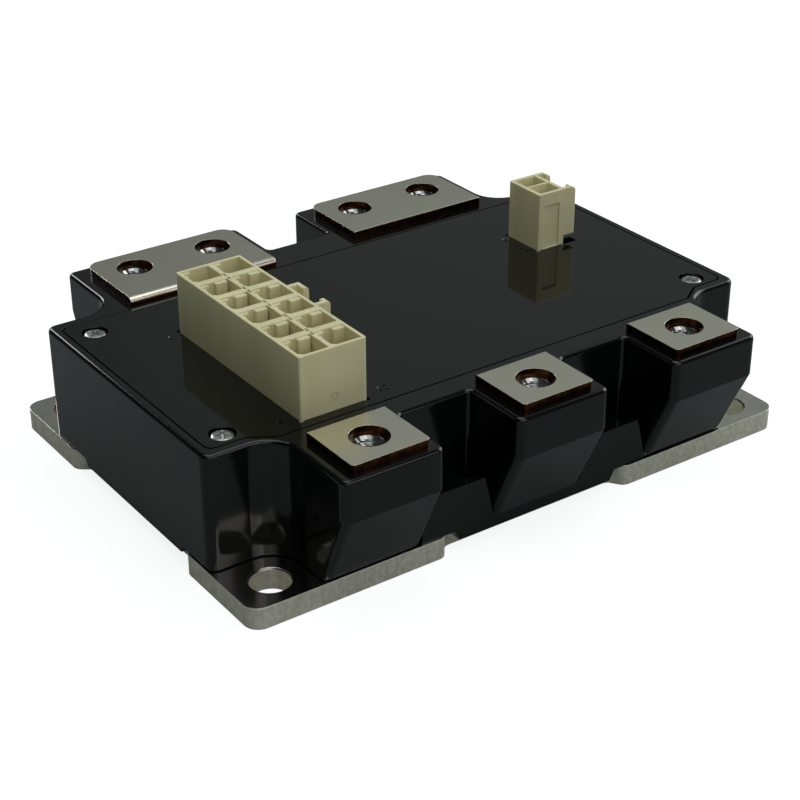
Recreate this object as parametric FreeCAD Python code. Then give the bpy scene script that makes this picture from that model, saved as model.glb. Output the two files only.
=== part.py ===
import FreeCAD, Part
import math
import os

from FreeCAD import Vector

# Six-switch power module on a flat metal base plate, in millimetres.
# X runs along the side with the three phase terminals, those terminals face -Y,
# the two supply terminals face +Y, and Z is up from the underside of the plate.

# How far a cut or a joint runs past the face that it starts from
PAST = 1.0

# Base plate
PLATE_LENGTH = 123.0
PLATE_WIDTH = 88.8
PLATE_THICKNESS = 4.3
PLATE_CORNER_RADIUS = 3.0
TAB_END_X = 20.4
TAB_END_Y = 21.0
RECESS_FRONT = 3.0
RECESS_SIDE = 2.8
TAB_SLANT = 2.0
TAB_ROUND = 2.0
MOUNT_EDGE_X = 7.6
MOUNT_EDGE_Y = 6.6
MOUNT_HOLE_RADIUS = 3.65
MOUNT_HOLE_CHAMFER = 0.3

# Case frame, set in from the edges of the plate, with blocks that stand out over them
BODY_END_INSET = 0.2
SHOULDER_INSET = 13.9
SHOULDER_LENGTH = 14.4
VALLEY_INSET = 7.7
SKIRT_INSET = 0.4
SIDE_SKIRT_INSET = 0.9
PHASE_BLOCK_OVERHANG = 6.5
SUPPLY_BLOCK_OVERHANG = 6.2
PHASE_BLOCK_WIDTH = 20.8
SUPPLY_BLOCKS_INNER_X = 7.3
CASE_TOP = 27.5
SLOPE_TOP = 19.3
BODY_CORNER_RADIUS = 2.0
SHOULDER_FILLET = 6.2
VALLEY_FILLET = 1.0
BLOCK_CORNER_RADIUS = 1.6
RIM_ROUND = 0.8
FOOT_INSET = 0.5
FOOT_HEIGHT = 0.3
SKIRT_BOTTOM = 2.2
SKIRT_END_SLANT = 1.6
SKIRT_GAP = 0.15
DAM_TOP = 13.4
DAM_THICKNESS = 1.6
DAM_NOTCH_WIDTH = 1.8
DAM_NOTCH_BOTTOM = 6.0
DAM_RIB_WIDTH = 5.6
POCKET_FLOOR = 5.6

# Lid and the space under it
LID_END_WALL = 2.1
LID_BACK_WALL = 2.9
LID_CORNER_WALL = 2.3
LID_FRONT_WALL = 5.5
LID_STEP_LENGTH = 12.0
LID_STEP_SLANT = 4.6
LID_CORNER_RADIUS = 1.6
LID_THICKNESS = 2.5
LID_GAP = 0.3
LID_LEDGE = 1.7
BOARD_GAP = 0.3
BOARD_THICKNESS = 1.6
BOARD_UNDERSIDE = 20.0
WELL_END_WALL = 7.3
WELL_FRONT_LEDGE = 4.0
WELL_BACK_LEDGE = 4.6
WELL_CORNER_RADIUS = 3.0

# Lid screws, by their distance from the edges of the lid
SCREW_END_MARGIN = 4.7
SCREW_FRONT_MARGIN = 3.4
SCREW_BACK_MARGIN = 4.7
SCREW_HEAD_RADIUS = 2.1
SCREW_HEAD_HEIGHT = 1.2
SCREW_HEAD_CHAMFER = 0.35
SCREW_SHANK_RADIUS = 1.1
SCREW_LENGTH = 7.0
SCREW_RECESS_RADIUS = 2.5
SCREW_RECESS_DEPTH = 1.4
SCREW_CROSS_WIDTH = 0.55
SCREW_CROSS_LENGTH = 2.3
SCREW_CROSS_DEPTH = 0.7
SCREW_HOLE_CLEARANCE = 0.15
SCREW_BOSS_RADIUS = 3.0

# Terminals and their nuts, by their distance from the faces of their blocks
TERMINAL_THICKNESS = 1.5
TERMINAL_LIFT = 0.03
TERMINAL_HOLE_RADIUS = 3.65
TERMINAL_CORNER_RADIUS = 0.9
PHASE_HOLE_SHIFT = 0.5
PHASE_HOLE_INSET = 8.6
PHASE_TERMINAL_INSET = 1.8
PHASE_TERMINAL_WIDTH = 16.0
PHASE_BEND_GAP = 3.8
PHASE_BEND_RADIUS = 0.35
PHASE_LEAD_WIDTH = 12.0
SUPPLY_HOLE_INSET = 8.7
SUPPLY_TERMINAL_INSET = 1.9
SUPPLY_TERMINAL_ROUND = 2.8
SUPPLY_END_MARGIN = 3.4
SUPPLY_MIDDLE_MARGIN = 3.0
SUPPLY_OUTER_HOLE = 7.7
SUPPLY_INNER_HOLE = 7.5
SUPPLY_LEAD_WIDTH = 12.0
PLUS_BEND_GAP = 1.3
PLUS_BEND_RADIUS = 1.3
MINUS_BEND_GAP = 3.4
MINUS_BEND_RADIUS = 0.25
NUT_ACROSS_FLATS = 10.0
NUT_HEIGHT = 5.0
NUT_BORE_RADIUS = 2.5
NUT_CHAMFER = 0.5
NUT_POCKET_GAP = 0.1
BOLT_TIP_RADIUS = 3.3
BOLT_TIP_DEPTH = 5.0

# Sockets for the gate and sense plugs
SOCKET_TOP = 39.75
SOCKET_FLOOR = 26.0
SOCKET_CLEARANCE = 0.15
LID_NOTCH = 0.5
GATE_END_GAP = 17.9
GATE_FRONT_GAP = 2.2
GATE_SOCKET_WIDTH = 13.9
GATE_SOCKET_LENGTH = 42.8
GATE_EDGES = (0.35, 0.35)
GATE_COLUMNS = 2
GATE_ROWS = 6
GATE_WALL = 0.65
GATE_WEB = 0.9
GATE_SILL = 0.65
SENSE_END_GAP = 21.35
SENSE_BACK_GAP = 24.0
SENSE_SOCKET_WIDTH = 6.75
SENSE_SOCKET_LENGTH = 10.0
SENSE_EDGES = (0.3, 0.0)
SENSE_COLUMNS = 1
SENSE_ROWS = 2
SENSE_WALL = 0.8
SENSE_WEB = 0.5
KEY_WIDTH = 2.35
KEY_GAPS = (0.45, 0.0)
KEY_DEPTH = 1.05
KEY_DROP = 0.15
CORNER_CHAMFER = 0.8
HIGH_STEP = (1.7, 0.6, 0.25)
LOW_STEP = (0.95, 1.25, 0.65)
CROSSING_SLOT_WIDTH = 0.45
CROSSING_SLOT_LENGTH = 1.2
CROSSING_SLOT_GAP = 0.5
CROSSING_SLOT_DEPTH = 1.2
EAR_WEB = 0.9
EAR_ROOT = 0.3
EAR_FLANGE = 1.2
EAR_BOTTOM = 29.2
GATE_EAR_ROUND = 0.6
SENSE_EAR_ROUND = 1.1
GATE_EAR_REACH = 2.9
GATE_FRONT_EAR = (15.8, 17.6)
GATE_BACK_EAR = (26.0, 23.0)
SENSE_EAR_REACH = 2.8
SENSE_EAR_LIP = 1.8
PANEL_DEPTH = 0.3
PANEL_TOP = 36.9
PANEL_MARGIN = 1.4
PIN_SIZE = 0.8
PIN_TOP = 33.0
PIN_TAIL = 1.5
PIN_HOLE_CLEARANCE = 0.05

# Substrates and what is soldered to them, by distance from the substrate's edges along X
SUBSTRATE_END_GAP = 2.5
SUBSTRATE_GAP = 3.5
SUBSTRATE_FRONT = -22.0
SUBSTRATE_BACK = 18.0
CERAMIC_THICKNESS = 0.65
COPPER_THICKNESS = 0.35
COPPER_MARGIN = 0.9
PAD_GAP = 1.0
PHASE_PAD_BACK = -6.0
MINUS_PAD_BACK = -1.3
SIGNAL_PAD_SIZE = 3.0
SIGNAL_PAD_MARGIN = 3.4
MAIN_PAD_MARGIN = 6.4
IGBT_SIZE = 9.0
IGBT_MARGIN = 8.0
DIODE_SIZE = 7.0
DIODE_MARGIN = 11.8
CHIP_THICKNESS = 0.4
HIGH_CHIP_Y = 6.5
LOW_CHIP_Y = -12.8
RIBBON_WIDTH = 1.5
RIBBON_THICKNESS = 0.3
RIBBON_RISE = 1.6
RIBBON_FOOT = 1.6
IGBT_RIBBON_OFFSET = 2.0
HIGH_RIBBON_END = -7.4
LOW_RIBBON_END = -3.6
LEAD_SIZE = 0.8
LEAD_ABOVE_BOARD = 1.0
LEAD_ROWS = (-17.0, -10.0, 3.5, 10.0)
THERMISTOR_LENGTH = 3.2
THERMISTOR_WIDTH = 1.6
THERMISTOR_HEIGHT = 1.0
THERMISTOR_Y = 15.2

# Supply bars inside the well
MINUS_BAR_LEVEL = 9.2
PLUS_BAR_LEVEL = 12.2
MINUS_BAR_FRONT = -4.0
MINUS_BAR_BACK = 1.0
PLUS_BAR_FRONT = 15.2
PLUS_BAR_BACK = 20.4
BAR_END = 8.5
FOOT_WIDTH = 4.0
PLUS_FOOT_MARGIN = 10.0
MINUS_FOOT_X = -0.6
PHASE_BAR_LEVEL = 9.2
PHASE_FOOT_Y = -20.6

# Adhesive bead under the frame
BEAD_WIDTH = 1.6
BEAD_HEIGHT = 0.5
BEAD_INSET = 0.8

# Places worked out from the sizes above, each as a distance from the centre
PLATE_END = PLATE_LENGTH / 2
PLATE_SIDE = PLATE_WIDTH / 2
BODY_END = PLATE_END - BODY_END_INSET
SHOULDER = PLATE_SIDE - SHOULDER_INSET
VALLEY = PLATE_SIDE - VALLEY_INSET
SKIRT_FACE = PLATE_SIDE - SKIRT_INSET
PHASE_BLOCK_FRONT = PLATE_SIDE + PHASE_BLOCK_OVERHANG
SUPPLY_BLOCK_BACK = PLATE_SIDE + SUPPLY_BLOCK_OVERHANG
BLOCKS_OUTER_X = BODY_END - SHOULDER_LENGTH
BLOCKS_CENTRE_X = BLOCKS_OUTER_X - PHASE_BLOCK_WIDTH / 2
LID_END = BODY_END - LID_END_WALL
LID_STEP_X = LID_END - LID_STEP_LENGTH
LID_BACK = SHOULDER - LID_BACK_WALL
LID_FRONT_CORNER = SHOULDER - LID_CORNER_WALL
LID_FRONT_MIDDLE = VALLEY - LID_FRONT_WALL
SCREW_X = LID_END - SCREW_END_MARGIN
SCREW_FRONT = LID_FRONT_CORNER - SCREW_FRONT_MARGIN
SCREW_BACK = LID_BACK - SCREW_BACK_MARGIN
WELL_END = BODY_END - WELL_END_WALL
WELL_FRONT = LID_FRONT_MIDDLE - WELL_FRONT_LEDGE
WELL_BACK = LID_BACK - WELL_BACK_LEDGE
PHASE_HOLE_X = BLOCKS_CENTRE_X - PHASE_HOLE_SHIFT
PHASE_HOLE_Y = PHASE_HOLE_INSET - PHASE_BLOCK_FRONT
PHASE_TERMINAL_FRONT = PHASE_TERMINAL_INSET - PHASE_BLOCK_FRONT
PHASE_TERMINAL_BEND = -LID_FRONT_MIDDLE - PHASE_BEND_GAP
SUPPLY_HOLE_Y = SUPPLY_BLOCK_BACK - SUPPLY_HOLE_INSET
SUPPLY_TERMINAL_BACK = SUPPLY_BLOCK_BACK - SUPPLY_TERMINAL_INSET
SUPPLY_TERMINAL_OUTER_X = BLOCKS_OUTER_X - SUPPLY_END_MARGIN
SUPPLY_TERMINAL_INNER_X = SUPPLY_BLOCKS_INNER_X + SUPPLY_MIDDLE_MARGIN
SUPPLY_HOLE_OUTER_X = SUPPLY_TERMINAL_OUTER_X - SUPPLY_OUTER_HOLE
SUPPLY_HOLE_INNER_X = SUPPLY_TERMINAL_INNER_X + SUPPLY_INNER_HOLE
PLUS_BEND = LID_BACK + PLUS_BEND_GAP
MINUS_BEND = LID_BACK + MINUS_BEND_GAP
GATE_SOCKET_X = GATE_END_GAP - LID_END
GATE_SOCKET_Y = GATE_FRONT_GAP - LID_FRONT_MIDDLE
SENSE_SOCKET_X = LID_END - SENSE_END_GAP
SENSE_SOCKET_Y = LID_BACK - SENSE_BACK_GAP
SUBSTRATE_WIDTH = 2 * (WELL_END - SUBSTRATE_END_GAP - SUBSTRATE_GAP) / 3
SUBSTRATE_SPACING = SUBSTRATE_WIDTH + SUBSTRATE_GAP
SIGNAL_PAD_X = SUBSTRATE_WIDTH / 2 - SIGNAL_PAD_MARGIN
MAIN_PAD_RIGHT = SUBSTRATE_WIDTH / 2 - MAIN_PAD_MARGIN
IGBT_X = IGBT_MARGIN - SUBSTRATE_WIDTH / 2
DIODE_X = SUBSTRATE_WIDTH / 2 - DIODE_MARGIN
PLUS_FOOT_X = SUBSTRATE_WIDTH / 2 - PLUS_FOOT_MARGIN
BAR_REACH = SUBSTRATE_SPACING + BAR_END

# Levels worked out from the sizes above
TERMINAL_UNDERSIDE = CASE_TOP + TERMINAL_LIFT
TERMINAL_TOP = TERMINAL_UNDERSIDE + TERMINAL_THICKNESS
LID_UNDERSIDE = CASE_TOP - LID_THICKNESS
BOARD_TOP = BOARD_UNDERSIDE + BOARD_THICKNESS
SUBSTRATE_TOP = PLATE_THICKNESS + CERAMIC_THICKNESS + 2 * COPPER_THICKNESS
CHIP_TOP = SUBSTRATE_TOP + CHIP_THICKNESS
PHASES = (("u", -1), ("v", 0), ("w", 1))


def plan(z):
    """Places outline coordinates (x, y) at height z."""
    return lambda u, v: Vector(u, v, z)


def side(x):
    """Places outline coordinates (y, z) in the upright plane at x."""
    return lambda u, v: Vector(x, u, v)


def front(y):
    """Places outline coordinates (x, z) in the upright plane at y."""
    return lambda u, v: Vector(u, y, v)


def outline_face(corners, place):
    """Flat face whose corners (u, v, radius) are rounded by tangent arcs."""
    edges = []
    joints = []
    count = len(corners)
    for index, (u, v, radius) in enumerate(corners):
        before = corners[index - 1]
        after = corners[(index + 1) % count]
        corner = Vector(u, v, 0)
        to_before = (Vector(before[0], before[1], 0) - corner).normalize()
        to_after = (Vector(after[0], after[1], 0) - corner).normalize()
        half = to_before.getAngle(to_after) / 2
        if radius <= 0:
            joints.append((corner, None, corner))
            continue
        reach = radius / math.tan(half)
        inward = (to_before + to_after).normalize()
        middle = corner + inward * (radius / math.sin(half) - radius)
        joints.append((corner + to_before * reach, middle, corner + to_after * reach))
    for index, (start, middle, end) in enumerate(joints):
        following = joints[(index + 1) % count][0]
        if middle is not None:
            arc = [place(point.x, point.y) for point in (start, middle, end)]
            edges.append(Part.Arc(*arc).toShape())
        if (following - end).Length > 1e-6:
            edges.append(Part.makeLine(place(end.x, end.y), place(following.x, following.y)))
    return Part.Face(Part.Wire(edges))


def prism(corners, bottom, top):
    """Upright solid of a plan outline between two heights."""
    return outline_face(corners, plan(bottom)).extrude(Vector(0, 0, top - bottom))


def beam(corners, start, end):
    """Solid of a (y, z) outline carried along X."""
    return outline_face(corners, side(start)).extrude(Vector(end - start, 0, 0))


def slab(corners, start, end):
    """Solid of an (x, z) outline carried along Y."""
    return outline_face(corners, front(start)).extrude(Vector(0, end - start, 0))


def box(x0, x1, y0, y1, z0, z1):
    """Square-edged block between two corners."""
    return Part.makeBox(x1 - x0, y1 - y0, z1 - z0, Vector(x0, y0, z0))


def drum(x, y, radius, bottom, top):
    """Upright cylinder between two heights."""
    return Part.makeCylinder(radius, top - bottom, Vector(x, y, bottom))


def rectangle(x0, x1, y0, y1, radius):
    """Corners of a rectangle with one radius all round."""
    return [(x0, y0, radius), (x1, y0, radius), (x1, y1, radius), (x0, y1, radius)]


def mirrored_y(shape):
    """Copy of a shape on the other side of the XZ plane."""
    return shape.mirror(Vector(0, 0, 0), Vector(0, 1, 0))


def joined(shapes):
    """One solid from shapes that meet, with its seams merged."""
    first, *others = shapes
    return first.fuse(others).removeSplitter()


def plate_outline(grow):
    """Outline of the base plate, moved outwards by grow: four corner tabs with recessed edges between."""
    half_x = PLATE_END + grow
    half_y = PLATE_SIDE + grow
    recess_x = PLATE_END - RECESS_SIDE + grow
    recess_y = PLATE_SIDE - RECESS_FRONT + grow
    tab_x = TAB_END_X - grow
    tab_y = TAB_END_Y - grow
    quarter = [
        (tab_x - TAB_SLANT / 2, recess_y, TAB_ROUND),
        (tab_x + TAB_SLANT / 2, half_y, TAB_ROUND),
        (half_x, half_y, PLATE_CORNER_RADIUS),
        (half_x, tab_y + TAB_SLANT / 2, TAB_ROUND),
        (recess_x, tab_y - TAB_SLANT / 2, TAB_ROUND),
    ]
    right_front = [(x, -y, radius) for x, y, radius in reversed(quarter)]
    left_front = [(-x, -y, radius) for x, y, radius in quarter]
    left_back = [(-x, y, radius) for x, y, radius in reversed(quarter)]
    return quarter + right_front + left_front + left_back


def mount_places():
    """Centres of the four mounting holes."""
    x = PLATE_END - MOUNT_EDGE_X
    y = PLATE_SIDE - MOUNT_EDGE_Y
    return [(sx * x, sy * y) for sx in (-1, 1) for sy in (-1, 1)]


def make_base_plate():
    plate = prism(plate_outline(0), 0, PLATE_THICKNESS)
    for x, y in mount_places():
        plate = plate.cut(drum(x, y, MOUNT_HOLE_RADIUS, -PAST, PLATE_THICKNESS + PAST))
        wide = MOUNT_HOLE_RADIUS + MOUNT_HOLE_CHAMFER
        rim = Part.makeCone(MOUNT_HOLE_RADIUS, wide, MOUNT_HOLE_CHAMFER,
                            Vector(x, y, PLATE_THICKNESS - MOUNT_HOLE_CHAMFER))
        plate = plate.cut(rim)
    return plate


def lid_outline(inset):
    """Outline of the lid, moved inwards by inset: its front steps back at the two corners."""
    half_x = LID_END - inset
    step_x = LID_STEP_X - inset
    middle = -LID_FRONT_MIDDLE + inset
    corner = -LID_FRONT_CORNER + inset
    return [
        (-half_x, corner, LID_CORNER_RADIUS),
        (-step_x - LID_STEP_SLANT, corner, 0),
        (-step_x, middle, 0),
        (step_x, middle, 0),
        (step_x + LID_STEP_SLANT, corner, 0),
        (half_x, corner, LID_CORNER_RADIUS),
        (half_x, LID_BACK - inset, LID_CORNER_RADIUS),
        (-half_x, LID_BACK - inset, LID_CORNER_RADIUS),
    ]


def screw_places():
    """Centres of the four lid screws."""
    return [(sx * SCREW_X, y) for sx in (-1, 1) for y in (-SCREW_FRONT, SCREW_BACK)]


def phase_block_span(position):
    """X range of the phase block at position -1, 0 or 1."""
    centre = position * BLOCKS_CENTRE_X
    return centre - PHASE_BLOCK_WIDTH / 2, centre + PHASE_BLOCK_WIDTH / 2


def frame_outline(inset):
    """Plan of the case moved inwards by inset: narrow shoulders, three blocks in front, two behind."""
    half_x = BODY_END - inset
    shoulder = SHOULDER - inset
    valley = VALLEY - inset
    corner = BODY_CORNER_RADIUS - inset
    shoulder_fillet = SHOULDER_FILLET + inset
    valley_fillet = VALLEY_FILLET + inset
    corners = [(-half_x, -shoulder, corner)]
    for position in (-1, 0, 1):
        left, right = phase_block_span(position)
        left += inset
        right -= inset
        face = -PHASE_BLOCK_FRONT + inset
        left_foot = (left, -shoulder, shoulder_fillet) if position == -1 else (left, -valley, valley_fillet)
        right_foot = (right, -shoulder, shoulder_fillet) if position == 1 else (right, -valley, valley_fillet)
        corners += [left_foot, (left, face, 0), (right, face, 0), right_foot]
    corners += [(half_x, -shoulder, corner), (half_x, shoulder, corner)]
    outer_side = BLOCKS_OUTER_X - inset
    inner_side = SUPPLY_BLOCKS_INNER_X + inset
    face = SUPPLY_BLOCK_BACK - inset
    supply = [
        (outer_side, shoulder, shoulder_fillet),
        (outer_side, face, 0),
        (inner_side, face, 0),
        (inner_side, valley, valley_fillet),
    ]
    corners += supply
    corners += [(-x, y, radius) for x, y, radius in reversed(supply)]
    corners.append((-half_x, shoulder, corner))
    return corners


def under_slope(block_face):
    """What is taken away below the blocks, so that each face slopes in to the edge of the plate."""
    far = block_face + PLATE_WIDTH
    corners = [
        (-SKIRT_FACE, PLATE_THICKNESS, 0),
        (-block_face, SLOPE_TOP, 0),
        (-far, SLOPE_TOP, 0),
        (-far, -PLATE_THICKNESS, 0),
        (-SKIRT_FACE, -PLATE_THICKNESS, 0),
    ]
    return beam(corners, -PLATE_LENGTH, PLATE_LENGTH)


def dam(left, right):
    """Low wall between two front blocks, notched at both ends, with its floor behind it."""
    face = -SKIRT_FACE
    corners = [
        (left, PLATE_THICKNESS, 0),
        (right, PLATE_THICKNESS, 0),
        (right, DAM_NOTCH_BOTTOM, 0),
        (right - DAM_NOTCH_WIDTH, DAM_TOP, 0),
        (left + DAM_NOTCH_WIDTH, DAM_TOP, 0),
        (left, DAM_NOTCH_BOTTOM, 0),
    ]
    inside = PAST - VALLEY
    wall = slab(corners, face, face + DAM_THICKNESS)
    floor = box(left, right, face, inside, PLATE_THICKNESS, POCKET_FLOOR)
    return [wall, floor]


def dam_rib(centre):
    """Rib from the low wall back to the case."""
    return box(centre - DAM_RIB_WIDTH / 2, centre + DAM_RIB_WIDTH / 2,
               -SKIRT_FACE, PAST - VALLEY, PLATE_THICKNESS, DAM_TOP)


def skirts():
    """Lips that hang into the recessed edges of the plate on all four sides."""
    front_half = TAB_END_X - TAB_SLANT / 2
    side_half = TAB_END_Y - TAB_SLANT / 2
    top = PLATE_THICKNESS + PAST
    drop = [(-1, SKIRT_BOTTOM), (1, SKIRT_BOTTOM)]
    front_face = [(s * (front_half - SKIRT_END_SLANT), z, 0) for s, z in drop]
    front_face += [(front_half, top, 0), (-front_half, top, 0)]
    side_face = [(s * (side_half - SKIRT_END_SLANT), z, 0) for s, z in drop]
    side_face += [(side_half, top, 0), (-side_half, top, 0)]
    along_y = slab(front_face, -SKIRT_FACE, SKIRT_FACE)
    reach = PLATE_END - SIDE_SKIRT_INSET
    along_x = beam(side_face, -reach, reach)
    plate = prism(plate_outline(SKIRT_GAP), -PAST, PLATE_THICKNESS)
    return [along_y.cut(plate), along_x.cut(plate)]


def rounded_blocks(case):
    """Rounds the upright and sloping corners of the blocks, then the rim all round the top."""
    corners = []
    for edge in case.Edges:
        ends = [vertex.Point for vertex in edge.Vertexes]
        flat_side = len(ends) == 2 and abs(ends[0].x - ends[1].x) < 1e-6
        if flat_side and min(abs(point.y) for point in ends) > SKIRT_FACE - FOOT_INSET:
            corners.append(edge)
    case = case.makeFillet(BLOCK_CORNER_RADIUS, corners)
    rim = [edge for edge in case.Edges if edge.BoundBox.ZMin > CASE_TOP - 1e-4]
    return case.makeFillet(RIM_ROUND, rim)


def screw_bosses():
    """Posts for the lid screws, joined to the end walls."""
    posts = []
    for x, y in screw_places():
        outward = BODY_END - BODY_CORNER_RADIUS
        end = math.copysign(outward, x)
        web = box(min(x, end), max(x, end), y - SCREW_BOSS_RADIUS, y + SCREW_BOSS_RADIUS,
                  BOARD_UNDERSIDE, LID_UNDERSIDE)
        posts += [drum(x, y, SCREW_BOSS_RADIUS, BOARD_UNDERSIDE, LID_UNDERSIDE), web]
    return posts


def bead_ring():
    """Ring of adhesive that follows the well under the frame."""
    inset = BEAD_INSET
    grow = BEAD_INSET + BEAD_WIDTH
    inner = rectangle(-WELL_END - inset, WELL_END + inset, -WELL_FRONT - inset, WELL_BACK + inset,
                      WELL_CORNER_RADIUS)
    outer = rectangle(-WELL_END - grow, WELL_END + grow, -WELL_FRONT - grow, WELL_BACK + grow,
                      WELL_CORNER_RADIUS)
    top = PLATE_THICKNESS + BEAD_HEIGHT
    return prism(outer, PLATE_THICKNESS, top).cut(prism(inner, PLATE_THICKNESS, top))


def nut_places():
    """Centres of the seven nuts."""
    phases = [(position * PHASE_HOLE_X, PHASE_HOLE_Y) for name, position in PHASES]
    supply = [(sx * x, SUPPLY_HOLE_Y) for sx in (-1, 1) for x in (SUPPLY_HOLE_INNER_X, SUPPLY_HOLE_OUTER_X)]
    return phases + supply


def hexagon(x, y, across_flats):
    """Corners of a hexagon whose flats face front and back."""
    reach = across_flats / math.sqrt(3)
    angles = [math.radians(60 * step) for step in range(6)]
    return [(x + reach * math.cos(angle), y + reach * math.sin(angle), 0) for angle in angles]


def make_case_frame(inserts):
    """The frame is moulded round its terminals, so they are cut out of it as they stand."""
    foot_top = PLATE_THICKNESS + FOOT_HEIGHT
    case = prism(frame_outline(0), foot_top, CASE_TOP)
    case = case.cut([under_slope(PHASE_BLOCK_FRONT), mirrored_y(under_slope(SUPPLY_BLOCK_BACK))])
    case = rounded_blocks(case)
    foot_edge = SKIRT_FACE - FOOT_INSET
    foot = prism(frame_outline(FOOT_INSET), PLATE_THICKNESS, foot_top)
    foot = foot.common(box(-PLATE_LENGTH, PLATE_LENGTH, -foot_edge, foot_edge, 0, CASE_TOP))
    spans = [phase_block_span(position) for position in (-1, 0, 1)]
    extras = [foot] + skirts()
    for (_, left), (right, _) in zip(spans, spans[1:]):
        extras += dam(left, right) + [dam_rib((left + right) / 2)]
    back = dam(-SUPPLY_BLOCKS_INNER_X, SUPPLY_BLOCKS_INNER_X)
    extras += [mirrored_y(piece) for piece in back]
    case = joined([case] + extras)
    well = rectangle(-WELL_END, WELL_END, -WELL_FRONT, WELL_BACK, WELL_CORNER_RADIUS)
    case = case.cut([
        prism(well, PLATE_THICKNESS - PAST, BOARD_UNDERSIDE + PAST),
        prism(lid_outline(LID_LEDGE), BOARD_UNDERSIDE, CASE_TOP),
        prism(lid_outline(-LID_GAP), LID_UNDERSIDE, CASE_TOP + PAST),
    ])
    case = joined([case] + screw_bosses())
    cuts = [bead_ring()]
    for x, y in screw_places():
        bottom = LID_UNDERSIDE - SCREW_LENGTH
        cuts.append(drum(x, y, SCREW_SHANK_RADIUS, bottom, CASE_TOP))
    for x, y in nut_places():
        pocket_floor = TERMINAL_UNDERSIDE - NUT_HEIGHT - NUT_POCKET_GAP
        pocket = hexagon(x, y, NUT_ACROSS_FLATS + 2 * NUT_POCKET_GAP)
        cuts.append(prism(pocket, pocket_floor, CASE_TOP + PAST))
        cuts.append(drum(x, y, BOLT_TIP_RADIUS, pocket_floor - BOLT_TIP_DEPTH, pocket_floor))
    return case.cut(cuts).cut(inserts)


def socket_opening(x, y, width, length, ears):
    """Close opening round a socket, relieved at its corners, with a slot below each latch ear."""
    gap = SOCKET_CLEARANCE
    low = LID_UNDERSIDE - PAST
    high = CASE_TOP + PAST
    opening = [box(x - gap, x + width + gap, y - gap, y + length + gap, low, high)]
    for corner_x in (x, x + width):
        for corner_y in (y, y + length):
            opening.append(box(corner_x - LID_NOTCH, corner_x + LID_NOTCH,
                               corner_y - LID_NOTCH, corner_y + LID_NOTCH, low, high))
    for reach, outer, inner in ears:
        near, far = sorted((outer, inner))
        opening.append(box(x + width, x + width + reach + LID_NOTCH, near - LID_NOTCH, far, low, high))
    return opening


def make_lid():
    lid = prism(lid_outline(0), LID_UNDERSIDE, CASE_TOP)
    cuts = []
    for x, y in screw_places():
        hole = SCREW_SHANK_RADIUS + SCREW_HOLE_CLEARANCE
        cuts.append(drum(x, y, SCREW_RECESS_RADIUS, CASE_TOP - SCREW_RECESS_DEPTH, CASE_TOP + PAST))
        cuts.append(drum(x, y, hole, LID_UNDERSIDE - PAST, CASE_TOP))
    for place, ears in zip(socket_places(), (gate_ears(), sense_ears())):
        cuts += socket_opening(*place, ears)
    return lid.cut(cuts)


def make_lid_screws():
    """Pan heads with a cross recess, on plain shanks that end in the bosses."""
    seat = CASE_TOP - SCREW_RECESS_DEPTH
    top = seat + SCREW_HEAD_HEIGHT
    screws = []
    for x, y in screw_places():
        shoulder = top - SCREW_HEAD_CHAMFER
        head = drum(x, y, SCREW_HEAD_RADIUS, seat, shoulder)
        dome = Part.makeCone(SCREW_HEAD_RADIUS, SCREW_HEAD_RADIUS - SCREW_HEAD_CHAMFER, SCREW_HEAD_CHAMFER,
                             Vector(x, y, shoulder))
        shank = drum(x, y, SCREW_SHANK_RADIUS, LID_UNDERSIDE - SCREW_LENGTH, seat)
        long = SCREW_CROSS_LENGTH / 2
        wide = SCREW_CROSS_WIDTH / 2
        floor = top - SCREW_CROSS_DEPTH
        slots = [
            box(x - long, x + long, y - wide, y + wide, floor, top + PAST),
            box(x - wide, x + wide, y - long, y + long, floor, top + PAST),
        ]
        screws.append(joined([head, dome, shank]).cut(slots))
    return Part.makeCompound(screws)


def top_plate(x0, x1, edge, bend, corner_radius):
    """Flat of a terminal on top of its block, from the free edge at y = edge to the bend."""
    corners = [(x0, edge, corner_radius), (x1, edge, corner_radius), (x1, bend, 0), (x0, bend, 0)]
    return prism(corners, TERMINAL_UNDERSIDE, TERMINAL_TOP)


def rounded_bend(terminal, bend, radius):
    """Rounds the outside of the bend where the plate turns down into the frame."""
    edges = []
    for edge in terminal.Edges:
        ends = [vertex.Point for vertex in edge.Vertexes]
        if all(abs(point.z - TERMINAL_TOP) < 1e-6 and abs(point.y - bend) < 1e-6 for point in ends):
            edges.append(edge)
    return terminal.makeFillet(radius, edges)


def make_phase_terminal(position):
    """Plate, upright lead inside the frame, bar into the well and foot on the phase pad."""
    hole_x = position * PHASE_HOLE_X
    half = PHASE_TERMINAL_WIDTH / 2
    lead = PHASE_LEAD_WIDTH / 2
    bend = PHASE_TERMINAL_BEND
    thick = TERMINAL_THICKNESS
    level = PHASE_BAR_LEVEL
    pieces = [
        top_plate(hole_x - half, hole_x + half, PHASE_TERMINAL_FRONT, bend, TERMINAL_CORNER_RADIUS),
        box(hole_x - half, hole_x + half, bend - thick, bend, level, TERMINAL_UNDERSIDE + thick / 2),
        box(hole_x - lead, hole_x + lead, bend - thick, PHASE_FOOT_Y + thick, level, level + thick),
        box(hole_x - lead, hole_x + lead, PHASE_FOOT_Y, PHASE_FOOT_Y + thick, SUBSTRATE_TOP, level + thick),
    ]
    terminal = rounded_bend(joined(pieces), bend, PHASE_BEND_RADIUS)
    hole = drum(hole_x, PHASE_HOLE_Y, TERMINAL_HOLE_RADIUS, CASE_TOP - PAST, TERMINAL_TOP + PAST)
    return terminal.cut(hole)


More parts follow.
